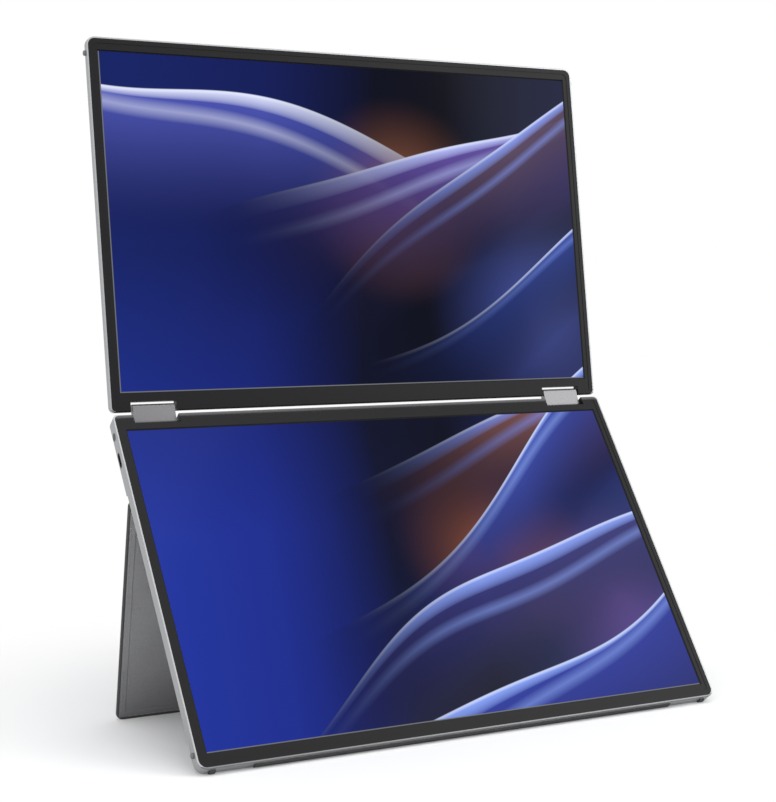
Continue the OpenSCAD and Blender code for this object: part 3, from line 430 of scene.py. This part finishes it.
def picture(name, foot, lean, border, start, left_glint_wide):
    """The lit picture of one screen; start is how far up the whole picture this screen's panel begins."""
    material = bpy.data.materials.new(name)
    material.use_nodes = True
    tree = material.node_tree
    shader = tree.nodes["Principled BSDF"]
    across, _, height_up = upright_place(tree, foot, lean)
    up = math(tree, "ADD", height_up, start)
    ramp = tree.nodes.new("ShaderNodeValToRGB")
    stops = ramp.color_ramp.elements
    while len(stops) < len(ground_shades):
        stops.new(0.5)
    for stop, (at, color) in zip(stops, ground_shades):
        stop.position, stop.color = at, (*color, 1)
    ground = math(tree, "MULTIPLY_ADD", up, ground_tilt, across)
    ground = math(tree, "MULTIPLY_ADD", ground, 1 / ground_wide, ground_middle, clamp=True)
    tree.links.new(ground, ramp.inputs[0])
    # the ground dims higher up
    high = math(tree, "MULTIPLY", math(tree, "SUBTRACT", up, dim_above), dim_rate, clamp=True)
    color = blend_colors(tree, high, ramp.outputs[0], (0.45, 0.42, 0.36), "MULTIPLY")
    for (x, z), radius, glow in glows:
        offset = tree.nodes.new("ShaderNodeCombineXYZ")
        tree.links.new(math(tree, "SUBTRACT", across, x), offset.inputs["X"])
        tree.links.new(math(tree, "SUBTRACT", up, z), offset.inputs["Y"])
        length = tree.nodes.new("ShaderNodeVectorMath")
        length.operation = "LENGTH"
        tree.links.new(offset.outputs[0], length.inputs[0])
        near = math(tree, "SUBTRACT", 1, math(tree, "DIVIDE", length.outputs["Value"], radius), clamp=True)
        color = blend_colors(tree, math(tree, "POWER", near, 1.6), color, glow, "ADD")
    for shape, colors in waves:
        layer = tree.nodes.new("ShaderNodeGroup")
        layer.node_tree = wave_group
        tree.links.new(color, layer.inputs["Under"])
        tree.links.new(across, layer.inputs["Across"])
        tree.links.new(up, layer.inputs["Up"])
        for label, value in zip(wave_shape, shape):
            layer.inputs[label].default_value = value
        for label, value in zip(wave_colors, colors):
            layer.inputs[label].default_value = (*value, 1)
        color = layer.outputs[0]
    # painted highlight: a pale glint glows in the glass along its lower side, and on the upper one along its
    # left side as well
    edge_glint = math(tree, "MAXIMUM", math(tree, "LESS_THAN", across, left_glint_wide - screen_wide / 2),
                    math(tree, "LESS_THAN", height_up, border + edge_glint_wide))
    color = blend_colors(tree, edge_glint, color, (0.16, 0.165, 0.175))
    tree.links.new(color, shader.inputs["Emission Color"])
    shader.inputs["Emission Strength"].default_value = 1
    shader.inputs["Base Color"].default_value = (0.001, 0.001, 0.002, 1)
    shader.inputs["Roughness"].default_value = 0.12
    shader.inputs["Specular IOR Level"].default_value = 0.04
    return material


upper_start = screen_high + picture_gap - upper_border
lower_picture = picture("lower_picture", lower_foot, lower_lean, lower_border, -lower_border, 0)
upper_picture = picture("upper_picture", upper_foot, upper_lean, upper_border, upper_start, edge_glint_wide)
paint(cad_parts["lower_screen"], lower_picture)
paint(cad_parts["upper_screen"], upper_picture)

# HINGE BLOCKS. Two flat-sided blocks in satin grey paint over zinc, one in each pair of notches. An end cap
# of the same finish closes the side where the shafts go in.
block_paint = finish("block_paint", (0.18, 0.18, 0.185), 0.36, metallic=0.55, tone=0.06, bump=0.12)
for name in ("hinge_block_left", "hinge_block_right", "hinge_end_caps"):
    paint(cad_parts[name], block_paint)

# HINGE STEEL. Brackets and leaves stamped from plain steel sheet, shafts and pins that are turned and then
# ground bright, and timing gears cut from brass.
plain_steel = finish("plain_steel", (0.30, 0.31, 0.33), 0.38, metallic=1, grain=2500, tone=0.1,
                     rough_shift=0.2)
ground_steel = finish("ground_steel", (0.55, 0.56, 0.58), 0.22, metallic=1, grain=6000, tone=0.05, bump=0.06)
gear_brass = finish("gear_brass", (0.62, 0.44, 0.17), 0.3, metallic=1, grain=5000, tone=0.08)
for name in ("lower_hinge_brackets", "upper_hinge_brackets", "stand_hinge_brackets", "stand_hinge_leaves"):
    paint(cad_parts[name], plain_steel)
for name in ("lower_hinge_shafts", "upper_hinge_shafts", "idler_pins", "stand_hinge_pins"):
    paint(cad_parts[name], ground_steel)
for name in ("lower_idler_gears", "upper_idler_gears"):
    paint(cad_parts[name], gear_brass)

# INSIDE THE PANELS. Stamped aluminium frames stiffen the screens. Behind them lie green circuit boards with
# black chips, amber film ribbons and zinc-plated screws.
frame_sheet = finish("frame_sheet", (0.45, 0.46, 0.48), 0.4, metallic=0.9, grain=1800, tone=0.06)
board_lacquer = finish("board_lacquer", (0.012, 0.075, 0.038), 0.32, grain=900, cloud=160, tone=0.5, bump=0.3)
chip_resin = finish("chip_resin", (0.018, 0.018, 0.02), 0.5, grain=6000, tone=0.2, bump=0.3)
ribbon_film = finish("ribbon_film", (0.40, 0.19, 0.035), 0.3, grain=700, cloud=90, tone=0.2)
screw_zinc = finish("screw_zinc", (0.56, 0.57, 0.6), 0.3, metallic=1, grain=5000, tone=0.06, bump=0.08)
for finish_used, names in (
        (frame_sheet, ("lower_frame", "upper_frame")),
        (board_lacquer, ("main_board", "port_board", "upper_board")),
        (chip_resin, ("board_chips", "upper_board_chips", "button_switch")),
        (ribbon_film, ("board_ribbon", "screen_ribbon")),
        (screw_zinc, ("board_screws", "lower_hinge_screws", "upper_hinge_screws", "stand_hinge_screws"))):
    for name in names:
        paint(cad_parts[name], finish_used)

# SOCKETS AND BUTTON. Dark-plated steel shells with their contact tongues, set back behind oval holes, and a
# dark anodised button that stands slightly proud of the wall.
socket_plate = finish("socket_plate", (0.05, 0.05, 0.055), 0.35, metallic=0.8, tone=0.1)
button_metal = finish("button_metal", (0.03, 0.03, 0.033), 0.4, metallic=0.4, grain=5000, tone=0.1)
for name in ("left_data_socket", "right_data_socket", "video_socket"):
    paint(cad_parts[name], socket_plate)
paint(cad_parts["power_button"], button_metal)

# RUBBER FEET. A long strip and two corner pads of soft dark rubber are glued under the lower unit's bottom
# edge, and another strip into the stand's.
soft_rubber = finish("soft_rubber", (0.060, 0.060, 0.062), 0.75, grain=3000, tone=0.25, bump=0.4,
                     specular=0.3)
for name in ("bottom_feet", "stand_foot"):
    paint(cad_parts[name], soft_rubber)

# BUMPERS. Round plugs of harder grey rubber with rounded tips, pressed into the side walls near the outer
# corners. They keep the metal walls off whatever the monitor is leaned against.
bumper_rubber = finish("bumper_rubber", (0.17, 0.17, 0.173), 0.6, grain=3000, tone=0.2, bump=0.4,
                       specular=0.35)
bumper_radius, bumper_seat, bumper_proud, tip_round, bumper_in = 0.0015, 0.0005, 0.0012, 0.00055, 0.009


def select_faces(thing, wanted):
    """Starts edit mode with only the wanted faces selected."""
    bpy.ops.object.mode_set(mode="EDIT")
    bpy.ops.mesh.select_mode(type="FACE")
    bpy.ops.mesh.select_all(action="DESELECT")
    bpy.ops.object.mode_set(mode="OBJECT")
    for face in thing.data.polygons:
        face.select = wanted(face)
    bpy.ops.object.mode_set(mode="EDIT")


def bumper(name, side, depth, up):
    """One plug, from its seat in the wall on that side out to its rounded tip."""
    start, end = side * (panel_wide / 2 - bumper_seat), side * (panel_wide / 2 + bumper_proud)
    bpy.ops.mesh.primitive_cylinder_add(
        vertices=32, radius=bumper_radius, depth=abs(end - start), location=((start + end) / 2, depth, up),
        rotation=(0, pi / 2, 0))
    plug = bpy.context.object
    plug.name = name
    select_faces(plug, lambda face: face.normal.z * side > 0.9)
    bpy.ops.mesh.bevel(offset=tip_round, segments=4, affect="EDGES")
    bpy.ops.object.mode_set(mode="OBJECT")
    return plug


def joined(name, pieces):
    """One object made of several, with a name of its own."""
    bpy.ops.object.select_all(action="DESELECT")
    for piece in pieces:
        piece.select_set(True)
    bpy.context.view_layer.objects.active = pieces[0]
    bpy.ops.object.join()
    whole = bpy.context.object
    whole.name = name
    whole.data.name = name
    return whole


for name, place, body, depth, up in (
        ("lower_bumpers", lower_place, "lower_unit", thin_back / 2, bumper_in),
        ("upper_bumpers", upper_place, "upper_unit", upper_thick / 2, panel_high - bumper_in)):
    pair = joined(name, [bumper(name + "_one", side, depth, up) for side in (-1, 1)])
    settle(pair, place, body)
    paint(pair, bumper_rubber)
    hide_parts(name.replace("bumpers", "side_bumpers"))

# STAND COVERING. Fine-grained imitation leather in dark grey, wrapped round the stand's board and turned in
# along the edges, where a stitched seam holds the hem.
stand_wide, stand_top, foot_sink = panel_wide, stand_thick / 2, stand_thick / 2 * sin(radians(-stand_lean))
stand_long = (stand_axis.z + foot_cut - foot_sink) / cos(radians(stand_lean))
foot_corner, top_corner, edge_round, rim_slack = 0.004, 0.003, 0.0011, 0.0002
hem_wide, groove_wide, groove_deep = 0.0046, 0.0004, 0.00025
hinge_middle, hinge_half, hinge_slot_low = 0.11030, 0.01540, -0.0018
foot_slot_inset, foot_slot_high, cut_reach = 0.004, 0.0016, 0.01


def select_edges(thing, wanted):
    """Starts edit mode with only the edges selected whose two ends satisfy wanted(first, second)."""
    bpy.ops.object.mode_set(mode="EDIT")
    bpy.ops.mesh.select_mode(type="EDGE")
    bpy.ops.mesh.select_all(action="DESELECT")
    bpy.ops.object.mode_set(mode="OBJECT")
    points = thing.data.vertices
    for edge in thing.data.edges:
        edge.select = wanted(*(points[i].co for i in edge.vertices))
    bpy.ops.object.mode_set(mode="EDIT")


def modifier(thing, kind, **settings):
    """Adds a modifier with these settings and applies it."""
    made = thing.modifiers.new(kind.title(), kind)
    for key, value in settings.items():
        setattr(made, key, value)
    bpy.ops.object.select_all(action="DESELECT")
    bpy.context.view_layer.objects.active = thing
    bpy.ops.object.modifier_apply(modifier=made.name)


def boxed(name, low, high):
    """A plain box from its lowest corner to its highest."""
    size = [b - a for a, b in zip(low, high)]
    bpy.ops.mesh.primitive_cube_add(size=1, location=[(a + b) / 2 for a, b in zip(low, high)])
    thing = bpy.context.object
    thing.name = name
    thing.scale = size
    bpy.ops.object.transform_apply(location=True, rotation=True, scale=True)
    return thing


def margin(point):
    """How far a point of the stand lies in from its outline."""
    return min(stand_wide / 2 - abs(point.x), point.z + stand_long, stand_top - point.z)


def broad(face):
    """Whether a face is one of the stand's two broad ones."""
    return abs(face.normal.y) > 0.99


def on_rim(a, b):
    """Whether an edge lies on the outline of a broad face."""
    outermost = abs(a.y - b.y) < 1e-5 and abs(a.y) > stand_thick / 2 - rim_slack
    return outermost and max(margin(a), margin(b)) < edge_round + rim_slack


covering = boxed("stand_covering", (-stand_wide / 2, -stand_thick / 2, -stand_long),
                 (stand_wide / 2, stand_thick / 2, stand_top))
# the hem's inner edge sinks in on both faces
for width, depth in ((hem_wide, 0), (groove_wide, -groove_deep)):
    select_faces(covering, lambda face: broad(face) and face.area > stand_wide * stand_long / 2)
    bpy.ops.mesh.inset(thickness=width, depth=depth)
for end, radius, segments in ((-1, foot_corner, 8), (1, top_corner, 6)):
    select_edges(covering, lambda a, b: abs(a.y - b.y) > stand_thick / 2 and a.z * end > 0)
    bpy.ops.mesh.bevel(offset=radius, segments=segments, affect="EDGES")
select_edges(covering, on_rim)
bpy.ops.mesh.bevel(offset=edge_round, segments=4, affect="EDGES")
bpy.ops.object.mode_set(mode="OBJECT")


def cut_away(thing, low, high):
    """Cuts a box out of a piece."""
    cutter = boxed("cutter", low, high)
    modifier(thing, "BOOLEAN", operation="DIFFERENCE", object=cutter, solver="EXACT")
    bpy.data.objects.remove(cutter)


# slots for the two hinge leaves and for the rubber foot
for side in (-1, 1):
    cut_away(covering, (side * hinge_middle - hinge_half, -cut_reach, hinge_slot_low),
             (side * hinge_middle + hinge_half, cut_reach, cut_reach))
foot_slot_half = stand_wide / 2 - foot_slot_inset
cut_away(covering, (-foot_slot_half, -cut_reach, -stand_long - cut_reach),
         (foot_slot_half, cut_reach, -stand_long + foot_slot_high))
settle(covering, stand_place, "stand")
# the rounded foot edge is cut level with the table
bpy.context.view_layer.objects.active = covering
bpy.ops.object.mode_set(mode="EDIT")
bpy.ops.mesh.select_all(action="SELECT")
bpy.ops.mesh.bisect(plane_co=(0, 0, 0), plane_no=(0, 0, 1), clear_inner=True, use_fill=True, threshold=1e-6)
bpy.ops.object.mode_set(mode="OBJECT")
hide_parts("stand_cover", "stand_lining", "stand_hems", "stand_board")

# Small pebbles with darker creases between them, and slow wear over the whole hide
leather_group = bpy.data.node_groups.new("pebbled_leather", "ShaderNodeTree")
open_sockets(leather_group, "INPUT", ("Color",), ("Pebbles",))
open_sockets(leather_group, "OUTPUT", ("Color",), ("Roughness", "Height"))


def build_leather(tree):
    ins, outs = tree.nodes.new("NodeGroupInput"), tree.nodes.new("NodeGroupOutput")
    spot = tree.nodes.new("ShaderNodeTexCoord")
    pebbles = tree.nodes.new("ShaderNodeTexVoronoi")
    pebbles.feature = "DISTANCE_TO_EDGE"
    tree.links.new(spot.outputs["Object"], pebbles.inputs["Vector"])
    tree.links.new(ins.outputs["Pebbles"], pebbles.inputs["Scale"])
    crease = math(tree, "MULTIPLY", pebbles.outputs["Distance"], 5, clamp=True)
    crease = math(tree, "POWER", crease, 0.5)
    wear = tree.nodes.new("ShaderNodeTexNoise")
    wear.inputs["Scale"].default_value, wear.inputs["Detail"].default_value = 22, 6
    tree.links.new(spot.outputs["Object"], wear.inputs["Vector"])
    tone = math(tree, "MULTIPLY_ADD", crease, 0.3, math(tree, "MULTIPLY_ADD", wear.outputs["Fac"], 0.3, 0.55))
    shade = tree.nodes.new("ShaderNodeVectorMath")
    shade.operation = "SCALE"
    tree.links.new(ins.outputs["Color"], shade.inputs[0])
    tree.links.new(tone, shade.inputs["Scale"])
    tree.links.new(shade.outputs[0], outs.inputs["Color"])
    tree.links.new(math(tree, "MULTIPLY_ADD", wear.outputs["Fac"], -0.2, 0.68), outs.inputs["Roughness"])
    tree.links.new(crease, outs.inputs["Height"])


build_leather(leather_group)
outline_wide, outline_low, foot_shade_high = 0.0012, 0.0019, 0.06


def build_stand_leather(material):
    """Leather darkened to near black along its outline, and with painted shade darkening it towards the foot.
    """
    tree = material.node_tree
    shader = tree.nodes["Principled BSDF"]
    leather = tree.nodes.new("ShaderNodeGroup")
    leather.node_tree = leather_group
    leather.inputs["Pebbles"].default_value = 1500
    across, _, up = upright_place(tree, stand_axis, stand_lean)
    from_foot = math(tree, "ADD", up, stand_long)
    at_side = math(tree, "GREATER_THAN", math(tree, "ABSOLUTE", across), stand_wide / 2 - outline_wide)
    outline = math(tree, "MAXIMUM", at_side, math(tree, "LESS_THAN", from_foot, outline_low))
    # painted shade: the leather darkens towards the foot, near the table
    low = math(tree, "SUBTRACT", 1, math(tree, "DIVIDE", from_foot, foot_shade_high), clamp=True)
    hide_with_shade = blend_colors(tree, math(tree, "POWER", low, 1.5), (0.42, 0.42, 0.425), (0.19, 0.19, 0.195))
    tree.links.new(blend_colors(tree, outline, hide_with_shade, (0.06, 0.06, 0.062)), leather.inputs["Color"])
    relief = tree.nodes.new("ShaderNodeBump")
    relief.inputs["Strength"].default_value, relief.inputs["Distance"].default_value = 0.35, 0.00006
    tree.links.new(leather.outputs["Color"], shader.inputs["Base Color"])
    tree.links.new(leather.outputs["Roughness"], shader.inputs["Roughness"])
    tree.links.new(leather.outputs["Height"], relief.inputs["Height"])
    tree.links.new(relief.outputs[0], shader.inputs["Normal"])
    shader.inputs["Specular IOR Level"].default_value = 0.3


stand_leather = bpy.data.materials.new("stand_leather")
stand_leather.use_nodes = True
build_stand_leather(stand_leather)
paint(covering, stand_leather)

# STITCHES. Light grey thread in short slanting stitches, pulled a little way into the leather. They hold the
# hem down on both faces of the stand.
stitch_pitch, stitch_long, seam_in, top_seam_in = 0.0034, 0.0027, 0.0022, 0.0052
thread_thick, stitch_end, stitch_flat, stitch_slant, stitch_sunk = 0.00038, 0.00011, 0.7, radians(5), 0.00007
across_spare, down_spare = 0.006, 0.004
thread_light = finish("thread_light", (0.30, 0.30, 0.31), 0.7, grain=6000, tone=0.3, bump=0.4, specular=0.3)


def stitch_run(start, step, count, turn):
    """A row of stitches from start, each a copy of one flattened stitch with rounded ends."""
    bpy.ops.mesh.primitive_cylinder_add(vertices=8, radius=thread_thick / 2, depth=stitch_long,
                                        location=(0, 0, 0), rotation=(0, pi / 2, 0))
    stitch = bpy.context.object
    bpy.ops.object.transform_apply(location=True, rotation=True, scale=True)
    select_edges(stitch, lambda a, b: abs(a.x - b.x) < 1e-6)
    bpy.ops.mesh.bevel(offset=stitch_end, segments=1, affect="EDGES")
    bpy.ops.object.mode_set(mode="OBJECT")
    stitch.scale = (1, stitch_flat, 1)
    stitch.rotation_euler = (0, turn + stitch_slant, 0)
    bpy.ops.object.transform_apply(location=True, rotation=True, scale=True)
    stitch.location = start
    bpy.ops.object.transform_apply(location=True, rotation=True, scale=True)
    modifier(stitch, "ARRAY", count=count, use_relative_offset=False, use_constant_offset=True,
             constant_offset_displace=step)
    return stitch


runs = []
seam_half, seam_low, seam_high = stand_wide / 2 - seam_in, -stand_long + seam_in, stand_top - top_seam_in
across_count = int((2 * seam_half - across_spare) / stitch_pitch)
down_count = int((seam_high - seam_low - down_spare) / stitch_pitch)
across_start = -stitch_pitch * (across_count - 1) / 2
down_start = (seam_low + seam_high) / 2 - stitch_pitch * (down_count - 1) / 2
for face in (-1, 1):
    level = face * (stand_thick / 2 - stitch_sunk)
    for height_up in (seam_low, seam_high):
        runs.append(stitch_run((across_start, level, height_up), (stitch_pitch, 0, 0), across_count, 0))
    for side in (-1, 1):
        down_from = (side * seam_half, level, down_start)
        runs.append(stitch_run(down_from, (0, 0, stitch_pitch), down_count, pi / 2))
seam = joined("stand_stitches", runs)
settle(seam, stand_place, "stand")
paint(seam, thread_light)

# COVER SCREWS. Nine small zinc-plated screws with flat heads and six-lobed recesses hold the lower cover's
# thin zone to the frame. They sit flush in their seats behind the stand.
screw_rows, screw_in = (0.07, 0.4, 0.68), 0.012
screw_columns = [side * (panel_wide / 2 - screw_in) for side in (-1, 0, 1)]
head_radius, head_thick, head_edge, shank_radius, shank_long = 0.0016, 0.00045, 0.00012, 0.00065, 0.0021
key_radius, key_long, key_pull = 0.00085, 0.0006, 0.16


def lobed_screw(name, across, up):
    """One screw with its shank, and the recess for its driver cut into the head."""
    head_middle = (across, thin_back - head_thick / 2, up)
    bpy.ops.mesh.primitive_cylinder_add(vertices=32, radius=head_radius, depth=head_thick,
                                        location=head_middle, rotation=(-pi / 2, 0, 0))
    screw = bpy.context.object
    screw.name = name
    bpy.ops.object.transform_apply(location=True, rotation=True, scale=True)
    select_faces(screw, lambda face: face.normal.y < -0.9)
    bpy.ops.mesh.inset(thickness=head_radius - shank_radius, depth=0)
    bpy.ops.mesh.extrude_region_move(TRANSFORM_OT_translate={"value": (0, head_thick - shank_long, 0)})
    select_edges(screw, lambda a, b: min(a.y, b.y) > thin_back - 1e-6)
    bpy.ops.mesh.bevel(offset=head_edge, segments=3, affect="EDGES")
    bpy.ops.object.mode_set(mode="OBJECT")
    bpy.ops.mesh.primitive_cylinder_add(vertices=24, radius=key_radius, depth=key_long,
                                        location=(across, thin_back, up), rotation=(-pi / 2, 0, 0))
    key = bpy.context.object
    bpy.ops.object.transform_apply(location=True, rotation=True, scale=True)
    for point in key.data.vertices:
        turn = atan2(point.co.z - up, point.co.x - across)
        pull = 1 - key_pull + key_pull * cos(6 * turn)
        point.co.x = across + (point.co.x - across) * pull
        point.co.z = up + (point.co.z - up) * pull
    modifier(screw, "BOOLEAN", operation="DIFFERENCE", object=key, solver="EXACT")
    bpy.data.objects.remove(key)
    return screw


heads = [lobed_screw("cover_screw_%d" % (3 * row + column), across, share * panel_high)
         for row, share in enumerate(screw_rows) for column, across in enumerate(screw_columns)]
heads = joined("lobed_cover_screws", heads)
settle(heads, lower_place, "lower_unit")
paint(heads, screw_zinc)
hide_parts("cover_screws")

# TRIPOD BUSH. A turned brass bush behind the lower cover's back, tapped for the usual camera screw. The
# thread is a coil of its own, which stands in from the wall of the hole.
tripod_up, thread_pitch, thread_radius = panel_high - 0.0235, 0.00127, 0.00262
ridge_radius, thread_in, thread_turns = 0.00034, 0.0002, 3
paint(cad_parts["tripod_bush"], gear_brass)
# a small triangle on the wall of the hole, wound up along its axis
bpy.ops.mesh.primitive_circle_add(vertices=3, radius=ridge_radius, fill_type="NOTHING",
                                  location=(thread_radius, 0, 0), rotation=(pi / 2, 0, 0))
thread = bpy.context.object
thread.name = "tripod_thread"
bpy.ops.object.transform_apply(location=True, rotation=True, scale=True)
for point in thread.data.vertices:
    point.co.z, point.co.x = point.co.x - thread_radius, thread_radius - point.co.z
modifier(thread, "SCREW", axis="Z", angle=2 * pi, screw_offset=thread_pitch, iterations=thread_turns,
         steps=48, render_steps=48, use_normal_calculate=True, use_smooth_shade=False)
thread.rotation_euler = (pi / 2, 0, 0)
thread.location = (0, thick_back - thread_in, tripod_up)
bpy.context.view_layer.update()
settle(thread, lower_place, "lower_unit")
paint(thread, gear_brass)
